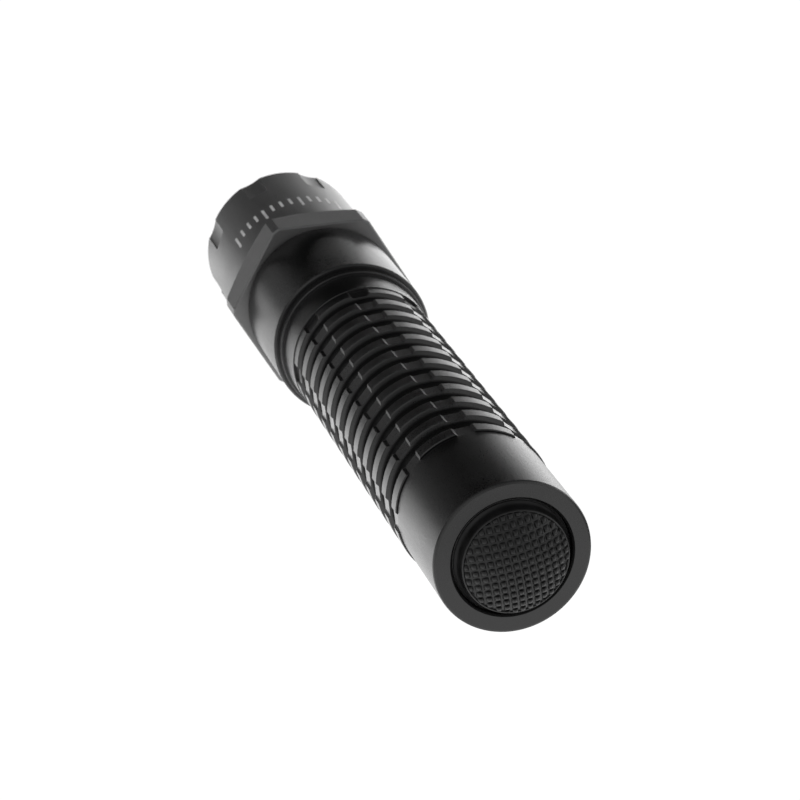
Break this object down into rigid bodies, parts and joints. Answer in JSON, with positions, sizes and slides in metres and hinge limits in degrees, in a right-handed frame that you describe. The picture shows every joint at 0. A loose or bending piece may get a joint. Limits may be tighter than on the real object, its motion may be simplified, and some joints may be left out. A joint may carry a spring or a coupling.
{
  "type": "flashlight",
  "caption": "Slim tactical flashlight: ribbed black tube, hexagon head with a scalloped front, and a domed knobbly tail button; tail cap unscrews.",
  "frame": {"origin": "middle of the smooth 25.4 mm tail band, on the beam axis", "axes": "+X along the beam axis from tail to lens, +Z normal to the upper flat of the hexagon, +Y to the left when looking along the beam"},
  "size_m": [0.1545, 0.0346, 0.0308],
  "materials": {
    "anodised": "bead blasted, hard anodised black",
    "button_rubber": "moulded black, square knobs on a crowned face",
    "seal_rubber": "satin",
    "spring_steel": "bright wire",
    "gold_spring": "gold flashed wire",
    "white_plastic": "moulded",
    "switch_plastic": "moulded",
    "chip_plastic": "moulded",
    "board": "solder mask",
    "brass_ring": "turned",
    "cell_wrap": "shrink sleeve",
    "insulator": "fibre washer",
    "cell_steel": "nickel plated",
    "lead_red": "silicone sleeve",
    "lead_black": "silicone sleeve",
    "led_board_white": "white solder mask",
    "screw_steel": "zinc plated",
    "led_phosphor": "phosphor",
    "led_lens": "silicone dome",
    "mirror_metal": "vapour plated, smooth",
    "lens_glass": "coated glass"
  },
  "bodies": {
    "light_body": {"grip_tube": "anodised", "tail_o_ring": "seal_rubber", "head_o_ring": "seal_rubber", "battery_cell": "cell_wrap", "battery_insulator": "insulator", "battery_positive_cap": "cell_steel", "head_housing": "anodised", "bezel_o_ring": "seal_rubber", "head_bezel": "anodised", "driver_retaining_ring": "brass_ring", "driver_board": "board", "driver_contact_post": "brass_ring", "driver_contact_spring": "gold_spring", "driver_components": "chip_plastic", "led_lead_positive": "lead_red", "led_lead_negative": "lead_black", "led_board": "led_board_white", "led_board_screws": "screw_steel", "led_emitter": "led_phosphor", "led_dome": "led_lens", "led_centering_ring": "white_plastic", "reflector": "mirror_metal", "lens": "lens_glass", "lens_gasket": "seal_rubber", "bezel_ring": "anodised"},
    "switch_core": {"switch_housing": "switch_plastic", "switch_pcb": "board", "tail_spring": "gold_spring"},
    "tail_cap": {"tailcap": "anodised", "tail_retaining_ring": "brass_ring"},
    "tail_button": {"button": "button_rubber", "button_seal": "seal_rubber", "switch_plunger": "white_plastic", "button_return_spring": "spring_steel"}
  },
  "joints": [
    {"name": "tailcap_travel", "type": "slide", "parent": "light_body", "child": "switch_core", "axis": [-1, 0, 0], "range_m": [0, 0.004]},
    {"name": "tailcap_turn", "type": "hinge", "parent": "switch_core", "child": "tail_cap", "pos_m": [0, 0, 0], "axis": [-1, 0, 0], "range_deg": [0, 1440]},
    {"name": "button_press", "type": "slide", "parent": "tail_cap", "child": "tail_button", "axis": [1, 0, 0], "range_m": [0, 0.0015], "stiffness_N_per_m": 900, "springref_m": -0.003, "deforming": ["button_return_spring"]}
  ],
  "couplings": [
    {"joint": "tailcap_turn", "follows": "tailcap_travel", "rad_per_m": 6283.2}
  ]
}
